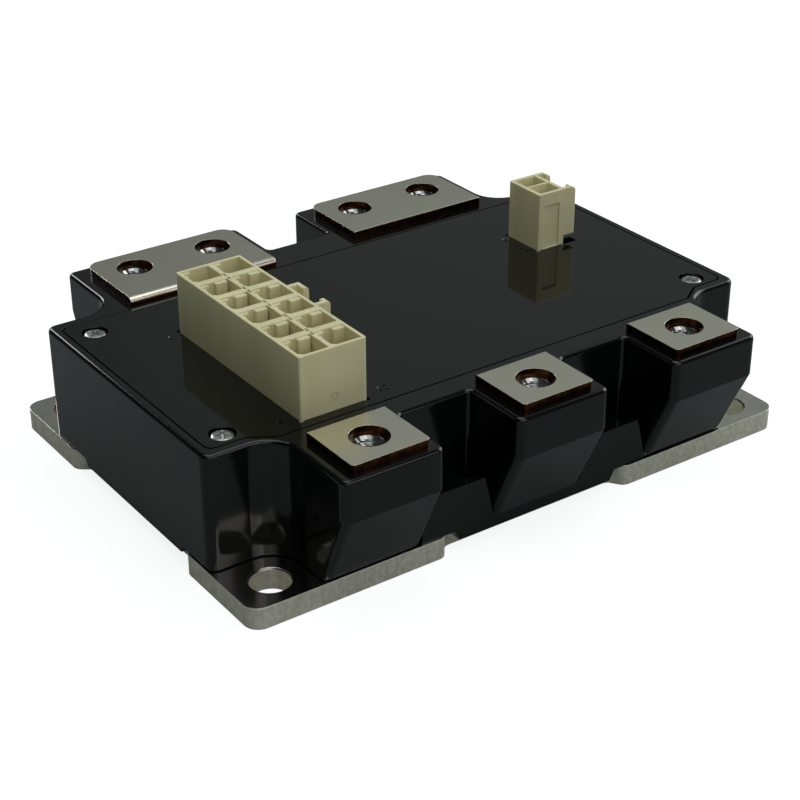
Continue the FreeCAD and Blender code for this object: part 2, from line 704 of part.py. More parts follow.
def make_supply_terminal(sign, bend, radius, level, bar_front, bar_back, foot_x):
    """Wide plate with two holes, upright lead, and a bar along the well with a foot on each substrate."""
    thick = TERMINAL_THICKNESS
    x0, x1 = sorted((sign * SUPPLY_TERMINAL_INNER_X, sign * SUPPLY_TERMINAL_OUTER_X))
    middle = (x0 + x1) / 2
    half = SUPPLY_LEAD_WIDTH / 2
    pieces = [
        top_plate(x0, x1, SUPPLY_TERMINAL_BACK, bend, SUPPLY_TERMINAL_ROUND),
        box(x0, x1, bend, bend + thick, LID_UNDERSIDE, TERMINAL_UNDERSIDE + thick / 2),
        box(middle - half, middle + half, bend, bend + thick, level, LID_UNDERSIDE),
        box(middle - half, middle + half, bar_back, bend + thick, level, level + thick),
        box(-BAR_REACH, BAR_REACH, bar_front, bar_back, level, level + thick),
    ]
    for name, position in PHASES:
        foot = position * SUBSTRATE_SPACING + foot_x
        pieces.append(box(foot - FOOT_WIDTH / 2, foot + FOOT_WIDTH / 2, bar_front, bar_front + thick,
                          SUBSTRATE_TOP, level))
    terminal = rounded_bend(joined(pieces), bend, radius)
    holes = []
    for x in (SUPPLY_HOLE_INNER_X, SUPPLY_HOLE_OUTER_X):
        holes.append(drum(sign * x, SUPPLY_HOLE_Y, TERMINAL_HOLE_RADIUS, CASE_TOP - PAST,
                          TERMINAL_TOP + PAST))
    return terminal.cut(holes)


def make_terminal_nuts():
    """Hexagon nuts that lie loose in their pockets, with plain bores in place of the fine thread."""
    top = TERMINAL_UNDERSIDE - NUT_POCKET_GAP / 2
    bottom = TERMINAL_UNDERSIDE - NUT_HEIGHT - NUT_POCKET_GAP / 2
    nuts = []
    for x, y in nut_places():
        nut = prism(hexagon(x, y, NUT_ACROSS_FLATS), bottom, top)
        nut = nut.cut(drum(x, y, NUT_BORE_RADIUS, bottom - PAST, top + PAST))
        wide = NUT_BORE_RADIUS + NUT_CHAMFER
        nut = nut.cut(Part.makeCone(NUT_BORE_RADIUS, wide, NUT_CHAMFER, Vector(x, y, top - NUT_CHAMFER)))
        nuts.append(nut)
    return Part.makeCompound(nuts)


def socket_places():
    """Low corner and size of both sockets."""
    return [
        (GATE_SOCKET_X, GATE_SOCKET_Y, GATE_SOCKET_WIDTH, GATE_SOCKET_LENGTH),
        (SENSE_SOCKET_X, SENSE_SOCKET_Y, SENSE_SOCKET_WIDTH, SENSE_SOCKET_LENGTH),
    ]


def socket_cells(x, y, width, length, columns, rows, wall, web):
    """Low and high corners of each cell, between equal webs."""
    cell_x = (width - 2 * wall - (columns - 1) * web) / columns
    cell_y = (length - 2 * wall - (rows - 1) * web) / rows
    cells = []
    for column in range(columns):
        for row in range(rows):
            left = x + wall + column * (cell_x + web)
            near = y + wall + row * (cell_y + web)
            cells.append((left, left + cell_x, near, near + cell_y))
    return cells


def gate_cells():
    return socket_cells(GATE_SOCKET_X, GATE_SOCKET_Y, GATE_SOCKET_WIDTH, GATE_SOCKET_LENGTH,
                        GATE_COLUMNS, GATE_ROWS, GATE_WALL, GATE_WEB)


def sense_cells():
    return socket_cells(SENSE_SOCKET_X, SENSE_SOCKET_Y, SENSE_SOCKET_WIDTH, SENSE_SOCKET_LENGTH,
                        SENSE_COLUMNS, SENSE_ROWS, SENSE_WALL, SENSE_WEB)


def cell_key(right, far, gap):
    """Key rib on the far wall of a cell, a gap away from its right wall."""
    key_right = right - gap
    return box(key_right - KEY_WIDTH, key_right, far - KEY_DEPTH, far, SOCKET_FLOOR, SOCKET_TOP - KEY_DROP)


def cell_corners(left, near, far):
    """Left corners of a cell: the near one is chamfered, and the far one is filled by two steps."""
    chamfer = [(left, near, 0), (left + CORNER_CHAMFER, near, 0), (left, near + CORNER_CHAMFER, 0)]
    steps = [box(left, left + reach, far - depth, far, SOCKET_FLOOR, SOCKET_TOP - drop)
             for reach, depth, drop in (HIGH_STEP, LOW_STEP)]
    return [prism(chamfer, SOCKET_FLOOR, SOCKET_TOP)] + steps


def crossing_slots(x, y):
    """Two short slots in line along Y, sunk in the crossing of two webs."""
    half = CROSSING_SLOT_WIDTH / 2
    inner = CROSSING_SLOT_GAP / 2
    outer = inner + CROSSING_SLOT_LENGTH
    bottom = SOCKET_TOP - CROSSING_SLOT_DEPTH
    return [box(x - half, x + half, y + low, y + high, bottom, SOCKET_TOP + PAST)
            for low, high in ((-outer, -inner), (inner, outer))]


def ear(root, reach, outer, inner, top_round):
    """Latch ear: a thin web at y = outer whose end turns in to y = inner."""
    inward = math.copysign(EAR_WEB, inner - outer)
    end = root + reach
    web = [
        (root - EAR_ROOT, EAR_BOTTOM, 0),
        (end, EAR_BOTTOM, 0),
        (end, SOCKET_TOP, top_round),
        (root - EAR_ROOT, SOCKET_TOP, 0),
    ]
    lip = [(end - EAR_FLANGE, EAR_BOTTOM, 0)] + web[1:3] + [(end - EAR_FLANGE, SOCKET_TOP, 0)]
    return [slab(web, outer, outer + inward), slab(lip, outer, inner)]


def gate_ears():
    """Reach, outer face and inner end of both latch ears of the large socket."""
    return [(GATE_EAR_REACH, GATE_SOCKET_Y + outer, GATE_SOCKET_Y + inner)
            for outer, inner in (GATE_FRONT_EAR, GATE_BACK_EAR)]


def sense_ears():
    """The small socket's ears carry on from its end walls."""
    near = SENSE_SOCKET_Y
    far = SENSE_SOCKET_Y + SENSE_SOCKET_LENGTH
    return [(SENSE_EAR_REACH, near, near + SENSE_EAR_LIP), (SENSE_EAR_REACH, far, far - SENSE_EAR_LIP)]


def pin_places(cells, sill):
    """Middle of the free part of each cell, between the key on its far wall and the sill on its near one."""
    return [((left + right) / 2, (near + sill + far - KEY_DEPTH) / 2) for left, right, near, far in cells]


def gate_pin_places():
    return pin_places(gate_cells(), GATE_SILL)


def sense_pin_places():
    return pin_places(sense_cells(), 0)


def square_pins(places, size, bottom, top):
    """Upright square pins at the given places."""
    half = size / 2
    return [box(x - half, x + half, y - half, y + half, bottom, top) for x, y in places]


def make_socket(x, y, width, length, edges, cells, additions, pins):
    """Open-topped housing with cells, standing on the board, and holes in its floor for the pins."""
    left_edge, right_edge = edges
    corners = [(x, y, left_edge), (x + width, y, right_edge),
               (x + width, y + length, right_edge), (x, y + length, left_edge)]
    housing = prism(corners, BOARD_TOP, SOCKET_TOP)
    housing = housing.cut([box(*cell, SOCKET_FLOOR, SOCKET_TOP + PAST) for cell in cells])
    holes = square_pins(pins, PIN_SIZE + 2 * PIN_HOLE_CLEARANCE, BOARD_TOP - PAST, SOCKET_FLOOR + PAST)
    return joined([housing] + additions).cut(holes)


def make_gate_socket():
    """The large socket's cells have a sill, stepped corners and a key, except for the key of the last row."""
    cells = gate_cells()
    additions = []
    slots = []
    for index, (left, right, near, far) in enumerate(cells):
        column, row = divmod(index, GATE_ROWS)
        sill = GATE_SILL if row > 0 else 0
        additions += cell_corners(left, near + sill, far)
        if sill > 0:
            additions.append(box(left, right, near, near + sill, SOCKET_FLOOR, SOCKET_TOP))
        if row < GATE_ROWS - 1:
            additions.append(cell_key(right, far, KEY_GAPS[column]))
        if column > 0 and row > 0:
            slots += crossing_slots(left - GATE_WEB / 2, near + (sill - GATE_WEB) / 2)
    for reach, outer, inner in gate_ears():
        additions += ear(GATE_SOCKET_X + GATE_SOCKET_WIDTH, reach, outer, inner, GATE_EAR_ROUND)
    housing = make_socket(GATE_SOCKET_X, GATE_SOCKET_Y, GATE_SOCKET_WIDTH, GATE_SOCKET_LENGTH,
                          GATE_EDGES, cells, additions, gate_pin_places())
    return housing.cut(slots)


def make_sense_socket():
    """The small socket's cells are plain, and its front wall has a shallow sunk panel."""
    right = SENSE_SOCKET_X + SENSE_SOCKET_WIDTH
    additions = []
    for reach, outer, inner in sense_ears():
        additions += ear(right, reach, outer, inner, SENSE_EAR_ROUND)
    housing = make_socket(SENSE_SOCKET_X, SENSE_SOCKET_Y, SENSE_SOCKET_WIDTH, SENSE_SOCKET_LENGTH,
                          SENSE_EDGES, sense_cells(), additions, sense_pin_places())
    panel = box(SENSE_SOCKET_X + PANEL_MARGIN, right - PANEL_MARGIN,
                SENSE_SOCKET_Y - PAST, SENSE_SOCKET_Y + PANEL_DEPTH, CASE_TOP, PANEL_TOP)
    return housing.cut(panel)


def make_pins(places):
    return Part.makeCompound(square_pins(places, PIN_SIZE, BOARD_UNDERSIDE - PIN_TAIL, PIN_TOP))


def make_gate_pins():
    return make_pins(gate_pin_places())


def make_sense_pins():
    return make_pins(sense_pin_places())


def lead_places():
    """Centres of the leads that rise from the signal pads."""
    return [(position * SUBSTRATE_SPACING + SIGNAL_PAD_X, y) for name, position in PHASES for y in LEAD_ROWS]


def make_board_leads():
    leads = square_pins(lead_places(), LEAD_SIZE, SUBSTRATE_TOP, BOARD_TOP + LEAD_ABOVE_BOARD)
    return Part.makeCompound(leads)


def make_gate_board(passing):
    """Board on the step of the frame, cut round the screw posts and drilled for pins and leads."""
    board = prism(lid_outline(LID_LEDGE + BOARD_GAP), BOARD_UNDERSIDE, BOARD_TOP)
    cuts = []
    for x, y in screw_places():
        end = math.copysign(BODY_END, x)
        reach = SCREW_BOSS_RADIUS + BOARD_GAP
        cuts.append(drum(x, y, reach, BOARD_UNDERSIDE - PAST, BOARD_TOP + PAST))
        cuts.append(box(min(x, end), max(x, end), y - reach, y + reach,
                        BOARD_UNDERSIDE - PAST, BOARD_TOP + PAST))
    return board.cut(cuts).cut(passing)


def make_seal_bead():
    return bead_ring()


def make_substrate(position):
    """Ceramic tile with one copper sheet below and the circuit's copper pads above."""
    centre = position * SUBSTRATE_SPACING
    half = SUBSTRATE_WIDTH / 2
    left = centre - half + COPPER_MARGIN
    right = centre + half - COPPER_MARGIN
    near = SUBSTRATE_FRONT + COPPER_MARGIN
    back = SUBSTRATE_BACK - COPPER_MARGIN
    ceramic_bottom = PLATE_THICKNESS + COPPER_THICKNESS
    ceramic_top = ceramic_bottom + CERAMIC_THICKNESS
    main_right = centre + MAIN_PAD_RIGHT
    pieces = [
        box(left, right, near, back, PLATE_THICKNESS, ceramic_bottom),
        box(centre - half, centre + half, SUBSTRATE_FRONT, SUBSTRATE_BACK, ceramic_bottom, ceramic_top),
        box(left, main_right, near, PHASE_PAD_BACK, ceramic_top, SUBSTRATE_TOP),
        box(left, main_right, PHASE_PAD_BACK + PAD_GAP, MINUS_PAD_BACK, ceramic_top, SUBSTRATE_TOP),
        box(left, main_right, MINUS_PAD_BACK + PAD_GAP, back, ceramic_top, SUBSTRATE_TOP),
    ]
    pad = SIGNAL_PAD_SIZE / 2
    for y in LEAD_ROWS:
        x = centre + SIGNAL_PAD_X
        pieces.append(box(x - pad, x + pad, y - pad, y + pad, ceramic_top, SUBSTRATE_TOP))
    return joined(pieces)


def make_chip(position, offset_x, y, size):
    centre = position * SUBSTRATE_SPACING + offset_x
    half = size / 2
    return box(centre - half, centre + half, y - half, y + half, SUBSTRATE_TOP, CHIP_TOP)


def ribbon(x, chip_y, end_y):
    """Bond ribbon: a flat foot on the chip, an arch and a flat foot on the copper."""
    sign = math.copysign(1, end_y - chip_y)
    thick = RIBBON_THICKNESS
    crest = CHIP_TOP + RIBBON_RISE
    foot = RIBBON_FOOT / 2 * sign
    run = (end_y - chip_y) / 4
    below = [
        (chip_y - foot, CHIP_TOP),
        (chip_y + foot, CHIP_TOP),
        (chip_y + run, crest),
        (end_y - run, crest),
        (end_y - foot, SUBSTRATE_TOP),
        (end_y + foot, SUBSTRATE_TOP),
    ]
    above = [
        (end_y + foot, SUBSTRATE_TOP + thick),
        (end_y - foot + thick / 2 * sign, SUBSTRATE_TOP + thick),
        (end_y - run + thick / 2 * sign, crest + thick),
        (chip_y + run - thick / 2 * sign, crest + thick),
        (chip_y + foot - thick / 2 * sign, CHIP_TOP + thick),
        (chip_y - foot, CHIP_TOP + thick),
    ]
    corners = [(y, z, 0) for y, z in below + above]
    return beam(corners, x - RIBBON_WIDTH / 2, x + RIBBON_WIDTH / 2)


def make_ribbons(position):
    centre = position * SUBSTRATE_SPACING
    places = [centre + IGBT_X - IGBT_RIBBON_OFFSET, centre + IGBT_X + IGBT_RIBBON_OFFSET, centre + DIODE_X]
    ribbons = []
    for x in places:
        ribbons.append(ribbon(x, HIGH_CHIP_Y, HIGH_RIBBON_END))
        ribbons.append(ribbon(x, LOW_CHIP_Y, LOW_RIBBON_END))
    return Part.makeCompound(ribbons)


def make_thermistor():
    x = SUBSTRATE_SPACING + SIGNAL_PAD_X
    z = SUBSTRATE_TOP - COPPER_THICKNESS
    return box(x - THERMISTOR_WIDTH / 2, x + THERMISTOR_WIDTH / 2,
               THERMISTOR_Y - THERMISTOR_LENGTH / 2, THERMISTOR_Y + THERMISTOR_LENGTH / 2,
               z, z + THERMISTOR_HEIGHT)


def make_all():
    """Every node of the module by name."""
    nodes = {"base_plate": make_base_plate()}
    for name, position in PHASES:
        nodes["terminal_" + name] = make_phase_terminal(position)
    nodes["terminal_p"] = make_supply_terminal(-1, PLUS_BEND, PLUS_BEND_RADIUS, PLUS_BAR_LEVEL,
                                               PLUS_BAR_FRONT, PLUS_BAR_BACK, PLUS_FOOT_X)
    nodes["terminal_n"] = make_supply_terminal(1, MINUS_BEND, MINUS_BEND_RADIUS, MINUS_BAR_LEVEL,
                                               MINUS_BAR_FRONT, MINUS_BAR_BACK, MINUS_FOOT_X)
    terminals = [nodes["terminal_" + name] for name in ("u", "v", "w", "p", "n")]
    nodes["case_frame"] = make_case_frame(terminals)
    nodes["lid"] = make_lid()
    nodes["lid_screws"] = make_lid_screws()
    nodes["terminal_nuts"] = make_terminal_nuts()
    nodes["gate_connector_housing"] = make_gate_socket()
    nodes["gate_connector_pins"] = make_gate_pins()
    nodes["sense_connector_housing"] = make_sense_socket()
    nodes["sense_connector_pins"] = make_sense_pins()
    nodes["board_leads"] = make_board_leads()
    passing = [nodes[name] for name in ("gate_connector_pins", "sense_connector_pins", "board_leads")]
    nodes["gate_board"] = make_gate_board(passing)
    nodes["seal_bead"] = make_seal_bead()
    for name, position in PHASES:
        nodes["substrate_" + name] = make_substrate(position)
        nodes["igbt_high_" + name] = make_chip(position, IGBT_X, HIGH_CHIP_Y, IGBT_SIZE)
        nodes["igbt_low_" + name] = make_chip(position, IGBT_X, LOW_CHIP_Y, IGBT_SIZE)
        nodes["diode_high_" + name] = make_chip(position, DIODE_X, HIGH_CHIP_Y, DIODE_SIZE)
        nodes["diode_low_" + name] = make_chip(position, DIODE_X, LOW_CHIP_Y, DIODE_SIZE)
        nodes["ribbons_" + name] = make_ribbons(position)
    nodes["thermistor"] = make_thermistor()
    return nodes


os.makedirs("parts", exist_ok=True)
for node, shape in make_all().items():
    shape.exportStep("parts/" + node + ".step")
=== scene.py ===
import math

import bmesh
import bpy
import numpy as np
from mathutils import Matrix, Vector


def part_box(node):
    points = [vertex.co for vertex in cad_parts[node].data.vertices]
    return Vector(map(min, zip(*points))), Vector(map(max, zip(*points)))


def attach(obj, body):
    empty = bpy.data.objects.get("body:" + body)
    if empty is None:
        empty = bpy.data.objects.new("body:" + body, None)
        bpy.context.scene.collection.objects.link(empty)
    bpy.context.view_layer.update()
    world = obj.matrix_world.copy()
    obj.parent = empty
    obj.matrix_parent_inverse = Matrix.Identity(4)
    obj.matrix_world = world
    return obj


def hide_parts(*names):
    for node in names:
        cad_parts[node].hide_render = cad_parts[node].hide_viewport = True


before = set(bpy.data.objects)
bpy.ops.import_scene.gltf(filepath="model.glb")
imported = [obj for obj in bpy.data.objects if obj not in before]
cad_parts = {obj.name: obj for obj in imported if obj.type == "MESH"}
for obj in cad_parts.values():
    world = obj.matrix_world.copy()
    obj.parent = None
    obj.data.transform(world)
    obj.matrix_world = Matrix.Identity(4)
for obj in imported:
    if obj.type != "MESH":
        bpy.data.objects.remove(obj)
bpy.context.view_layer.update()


# Base plate: rolled copper, 4.3 mm thick, milled to outline and dull nickel plated.
# It carries everything else and is screwed to a heatsink through its four holes.
class Wire:
    """One output socket of a material's nodes; arithmetic on it adds Math nodes."""

    def __init__(self, finish, socket):
        self.finish = finish
        self.socket = socket

    def math(self, operation, *values):
        return self.finish.node("ShaderNodeMath", {"operation": operation}, dict(enumerate(values)))

    def __add__(self, other):
        return self.math("ADD", self, other)

    def __sub__(self, other):
        return self.math("SUBTRACT", self, other)

    def __rsub__(self, other):
        return self.math("SUBTRACT", other, self)

    def __mul__(self, other):
        return self.math("MULTIPLY", self, other)

    def __abs__(self):
        return self.math("ABSOLUTE", self)

    __radd__ = __add__
    __rmul__ = __mul__

    def rise(self, low, high):
        """0 below low, 1 above high, and a smooth step between."""
        settings = {"interpolation_type": "SMOOTHSTEP", "clamp": True}
        inputs = {"Value": self, "From Min": low, "From Max": high}
        return self.finish.node("ShaderNodeMapRange", settings, inputs)

    def sine(self):
        return self.math("SINE", self)


class Finish:
    """A material whose nodes are added one call at a time; constants go straight to the shader."""

    def __init__(self, name, **constants):
        self.material = bpy.data.materials.new(name)
        self.material.use_nodes = True
        self.tree = self.material.node_tree
        self.shader = self.tree.nodes["Principled BSDF"]
        for socket, value in constants.items():
            self.fill(self.shader.inputs[socket.replace("_", " ")], value)

    def fill(self, socket, value):
        if isinstance(value, Wire):
            self.tree.links.new(value.socket, socket)
        elif socket.type == "RGBA":
            socket.default_value = (*value[:3], 1.0)
        else:
            socket.default_value = value

    def node(self, kind, settings, inputs, output=0):
        """Adds a node with its settings, fills its inputs with values or links, and returns an output."""
        made = self.tree.nodes.new(kind)
        for name, value in settings.items():
            setattr(made, name, value)
        for name, value in inputs.items():
            self.fill(made.inputs[name], value)
        return Wire(self, made.outputs[output])

    def place(self):
        return self.node("ShaderNodeTexCoord", {}, {}, "Object")

    def axes(self, vector):
        split = self.node("ShaderNodeSeparateXYZ", {}, {"Vector": vector})
        return [Wire(self, split.socket.node.outputs[axis]) for axis in "XYZ"]

    def levelness(self):
        """1 where the surface lies level and 0 where it stands upright."""
        return abs(self.axes(self.node("ShaderNodeNewGeometry", {}, {}, "Normal"))[2])

    def noise(self, scale, detail=3.0, stretch=(1, 1, 1), rough=0.55):
        """Cloudy values about 0.5, with scale given in cycles per metre."""
        vector = self.node("ShaderNodeMapping", {}, {"Vector": self.place(), "Scale": stretch})
        inputs = {"Vector": vector, "Scale": scale, "Detail": detail, "Roughness": rough}
        return self.node("ShaderNodeTexNoise", {}, inputs, "Fac")

    def mix(self, factor, first, second):
        return self.node("ShaderNodeMix", {"data_type": "RGBA"}, {0: factor, 6: first, 7: second}, 2)

    def relief(self, height, strength, distance, edge=0.0):
        """Surface direction from a height map, over edges that are rounded to the given radius."""
        inputs = {"Height": height, "Strength": strength, "Distance": distance}
        if edge > 0:
            inputs["Normal"] = self.node("ShaderNodeBevel", {"samples": 6}, {"Radius": edge})
        self.paint("Normal", self.node("ShaderNodeBump", {}, inputs))

    def paint(self, socket, value):
        self.fill(self.shader.inputs[socket], value)
        return self


def dress(finish, *names):
    """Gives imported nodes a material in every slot."""
    for name in names:
        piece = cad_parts[name]
        if not piece.material_slots:
            piece.data.materials.append(None)
        for slot in piece.material_slots:
            slot.material = finish.material


plate = Finish("dull_nickel_plate", Metallic=1.0)
mottle = plate.noise(900, 6)
cloud = plate.noise(110, 3)
milled = plate.noise(1300, 3, (1, 1, 0.12))
edge_side = 1 - plate.levelness().rise(0.3, 0.7)
top_tone = plate.mix(cloud.rise(0.3, 0.7), (0.66, 0.635, 0.56), (0.72, 0.695, 0.62))
side_wear = (mottle * 0.7 + milled * 0.3).rise(0.38, 0.62)
side_tone = plate.mix(side_wear, (0.80, 0.765, 0.645), (0.95, 0.92, 0.80))
plate.paint("Base Color", plate.mix(edge_side, top_tone, side_tone))
plate.paint("Roughness", 0.13 + 0.06 * cloud + edge_side * (0.36 + 0.12 * mottle))
plate.relief(0.5 * milled * edge_side + mottle * (0.15 + edge_side), 0.25, 0.00003, 0.0002)
dress(plate, "base_plate")


# Adhesive bead: grey silicone laid in a groove of the frame.
# It glues and seals the frame to the plate when the two are pressed together.
sealant = Finish("grey_silicone", Metallic=0.0)
lumps = sealant.noise(500, 3)
sealant.paint("Base Color", sealant.mix(lumps, (0.30, 0.30, 0.29), (0.42, 0.42, 0.40)))
sealant.paint("Roughness", 0.45 + 0.2 * lumps)
sealant.relief(lumps, 0.4, 0.0001)
dress(sealant, "seal_bead")


# Substrates: white ceramic tiles, 32 by 40 mm, clad with copper on both faces.
# Their lower face is soldered to the plate, and the upper copper is etched into pads.
CERAMIC_BOTTOM, CERAMIC_TOP, BOUNDARY = 0.00466, 0.00529, 0.00001
tile = Finish("copper_clad_ceramic")
z = tile.axes(tile.place())[2]
above_bottom = z.rise(CERAMIC_BOTTOM - BOUNDARY, CERAMIC_BOTTOM)
in_ceramic = above_bottom * (1 - z.rise(CERAMIC_TOP, CERAMIC_TOP + BOUNDARY))
stain = tile.noise(260, 4)
copper = tile.mix(stain, (0.70, 0.38, 0.24), (0.82, 0.50, 0.34))
tile.paint("Base Color", tile.mix(in_ceramic, copper, (0.82, 0.81, 0.77)))
tile.paint("Metallic", 1 - in_ceramic)
tile.paint("Roughness", 0.28 + 0.25 * stain)
tile.relief(stain, 0.2, 0.00003, 0.0001)
dress(tile, "substrate_u", "substrate_v", "substrate_w")


# Chips: six transistors and six diodes of silicon, soldered to the copper by their undersides.
# Aluminium over the active area takes the ribbons, and a dark guard ring runs round the edge.
CHIP_SHOULDER, CHIP_FACE = 0.00600, 0.00604
STRIPE_TURNS = 9000  # radians per metre
silicon = Finish("metallised_silicon")
y, z = silicon.axes(silicon.place())[1:]
weave = silicon.noise(2600, 2)
stripes = (y * STRIPE_TURNS).sine()
on_top = z.rise(CHIP_SHOULDER, CHIP_FACE)
shade = silicon.mix(weave, (0.10, 0.10, 0.13), (0.17, 0.17, 0.20))
silicon.paint("Base Color", silicon.mix(on_top, shade, (0.58, 0.58, 0.60)))
silicon.paint("Metallic", on_top * 0.9)
silicon.paint("Roughness", 0.30 + 0.15 * weave)
silicon.relief(stripes * on_top, 0.2, 0.00001, 0.00005)
CHIP_KINDS = ("igbt_high_", "igbt_low_", "diode_high_", "diode_low_")
dress(silicon, *[kind + phase for kind in CHIP_KINDS for phase in "uvw"])


# Bond ribbons: bright drawn aluminium, 1.5 mm wide and 0.3 mm thick.
# Each is welded by ultrasound to a chip at one end and to copper at the other.
ribbon = Finish("drawn_aluminium", Metallic=1.0)
drawn = ribbon.noise(1500, 3, (6, 0.3, 0.3))
ribbon.paint("Base Color", ribbon.mix(drawn, (0.78, 0.78, 0.79), (0.88, 0.88, 0.88)))
ribbon.paint("Roughness", 0.22 + 0.2 * drawn)
ribbon.relief(drawn, 0.3, 0.00002, 0.00006)
dress(ribbon, "ribbons_u", "ribbons_v", "ribbons_w")


# Thermistor: a dark fired ceramic chip with tinned ends, soldered beside the third phase.
# It reports the temperature of the substrates through the small socket.
SENSOR_MIDDLE_Y = sum(corner.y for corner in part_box("thermistor")) / 2
BODY_END, CAP_START = 0.00108, 0.00112
sensor = Finish("fired_ceramic")
y = sensor.axes(sensor.place())[1]
cap = abs(y - SENSOR_MIDDLE_Y).rise(BODY_END, CAP_START)
speckle = sensor.noise(3000, 2)
body_tone = sensor.mix(speckle, (0.05, 0.05, 0.05), (0.10, 0.09, 0.09))
sensor.paint("Base Color", sensor.mix(cap, body_tone, (0.72, 0.72, 0.70)))
sensor.paint("Metallic", cap)
sensor.paint("Roughness", 0.5 - 0.2 * cap + 0.1 * speckle)
sensor.relief(speckle, 0.2, 0.00002, 0.0001)
dress(sensor, "thermistor")


# Circuit board: green lacquered glass-fibre laminate on the step of the frame.
# It joins the leads of the substrates to the pins of both sockets.
LANE_TURNS = 2600  # radians per metre
board = Finish("lacquered_laminate", Coat_Weight=0.3)
y = board.axes(board.place())[1]
lanes = (y * LANE_TURNS).sine().rise(0.55, 0.75)
breaks = board.noise(90, 1, (1, 5, 1)).rise(0.50, 0.54)
tracks = lanes * breaks
fibres = board.noise(1800, 2, (1, 1, 4))
laminate = board.mix(fibres, (0.012, 0.11, 0.05), (0.02, 0.15, 0.07))
board.paint("Base Color", board.mix(tracks, laminate, (0.04, 0.23, 0.10)))
board.paint("Roughness", 0.32 + 0.15 * fibres)
board.relief(tracks + 0.2 * fibres, 0.4, 0.00003, 0.00005)
dress(board, "gate_board")


# Pins and leads: 0.8 mm square tinned wire with tapered ends.
# The pins stand in the board and end in the sockets' cells; the leads rise from the substrates.
def welded(mesh):
    """Merges the seam and the poles of a grid, and turns all faces outwards."""
    work = bmesh.new()
    work.from_mesh(mesh)
    bmesh.ops.remove_doubles(work, verts=work.verts, dist=1e-7)
    bmesh.ops.dissolve_degenerate(work, edges=work.edges, dist=1e-8)
    bmesh.ops.recalc_face_normals(work, faces=work.faces)
    work.to_mesh(mesh)
    work.free()


def grids(name, patches, finish, smooth=True):
    """One object from patches of points: patch[i, j] is the point of row i and column j, in metres."""
    points, faces, start = [], [], 0
    for patch in patches:
        rows, columns = patch.shape[:2]
        corner = (np.arange(rows - 1)[:, None] * columns + np.arange(columns - 1)[None, :]).ravel() + start
        faces.append(np.stack([corner, corner + 1, corner + columns + 1, corner + columns], 1))
        points.append(patch.reshape(-1, 3))
        start += rows * columns
    mesh = bpy.data.meshes.new(name)
    mesh.from_pydata(np.concatenate(points).tolist(), [], np.concatenate(faces).tolist())
    welded(mesh)
    mesh.polygons.foreach_set("use_smooth", [smooth] * len(mesh.polygons))
    if smooth:
        mesh.set_sharp_from_angle(angle=math.radians(35))
    mesh.materials.append(finish.material)
    piece = bpy.data.objects.new(name, mesh)
    bpy.context.scene.collection.objects.link(piece)
    return piece


def square_post(x, y, levels):
    """Square column: each level (z, half) gives a ring at (x +- half, y +- half, z), in millimetres."""
    turn = np.array([(-1, -1), (1, -1), (1, 1), (-1, 1), (-1, -1)], float)
    z, half = np.array(levels, float).T
    ring = np.empty((len(z), 5, 3))
    ring[..., 0] = x + half[:, None] * turn[None, :, 0]
    ring[..., 1] = y + half[:, None] * turn[None, :, 1]
    ring[..., 2] = z[:, None]
    return ring / 1000


def cell_middles(x, y, width, length, columns, rows, wall, web, sill):
    """Middle of the free part of each cell of a socket, between its key and its sill, in millimetres."""
    step_x = (width - 2 * wall + web) / columns
    step_y = (length - 2 * wall + web) / rows
    return [(x + wall + step_x * column + (step_x - web) / 2,
             y + wall + step_y * row + (step_y - web + sill - KEY_DEPTH) / 2)
            for column in range(columns) for row in range(rows)]


KEY_DEPTH = 1.05
GATE_SOCKET = (-41.3, -29.0, 13.9, 42.8, 2, 6, 0.65, 0.9, 0.65)
SENSE_SOCKET = (37.85, 3.6, 6.75, 10.0, 1, 2, 0.8, 0.5, 0.0)
PIN_LEVELS = [(18.5, 0.0), (18.5, 0.2), (19.1, 0.4), (32.2, 0.4), (33.0, 0.18), (33.0, 0.0)]
tin = Finish("bright_tin", Metallic=1.0)
drag = tin.noise(2200, 3, (1, 1, 0.1))
tin.paint("Base Color", tin.mix(drag, (0.70, 0.68, 0.62), (0.84, 0.82, 0.77)))
tin.paint("Roughness", 0.22 + 0.22 * drag)
tin.relief(drag, 0.25, 0.00002, 0.00006)
dress(tin, "board_leads")
for name, socket in (("gate_connector_pins", GATE_SOCKET), ("sense_connector_pins", SENSE_SOCKET)):
    posts = [square_post(x, y, PIN_LEVELS) for x, y in cell_middles(*socket)]
    pins = grids(name.replace("connector", "contact"), posts, tin, smooth=False)
    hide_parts(name)
    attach(pins, "root")


# Terminals: 1.5 mm copper plate, nickel plated before it was stamped, so its cut edges are brown copper.
# Each is bent down into the frame, which is moulded round it.
nickel = Finish("satin_nickel_on_copper", Metallic=1.0)
rolled = nickel.noise(240, 5, (1, 10, 1))
haze = nickel.noise(55, 4)
cut = 1 - nickel.levelness().rise(0.25, 0.6)
edge_mottle = nickel.noise(420, 3, (1, 1, 2))
face_tone = nickel.mix(haze.rise(0.3, 0.75), (0.87, 0.835, 0.70), (0.81, 0.775, 0.65))
# The cut edges are drawn near-black to dark brown, mottled by a noise that also bumps them.
copper_tone = nickel.mix(edge_mottle.rise(0.3, 0.7), (0.028, 0.010, 0.005), (0.12, 0.045, 0.018))
nickel.paint("Base Color", nickel.mix(cut, face_tone, copper_tone))
nickel.paint("Roughness", 0.17 + 0.07 * rolled + 0.08 * haze + 0.04 * cut)
nickel.relief(rolled + edge_mottle * cut, 0.15, 0.00002, 0.00016)
dress(nickel, *["terminal_" + letter for letter in "uvwpn"])


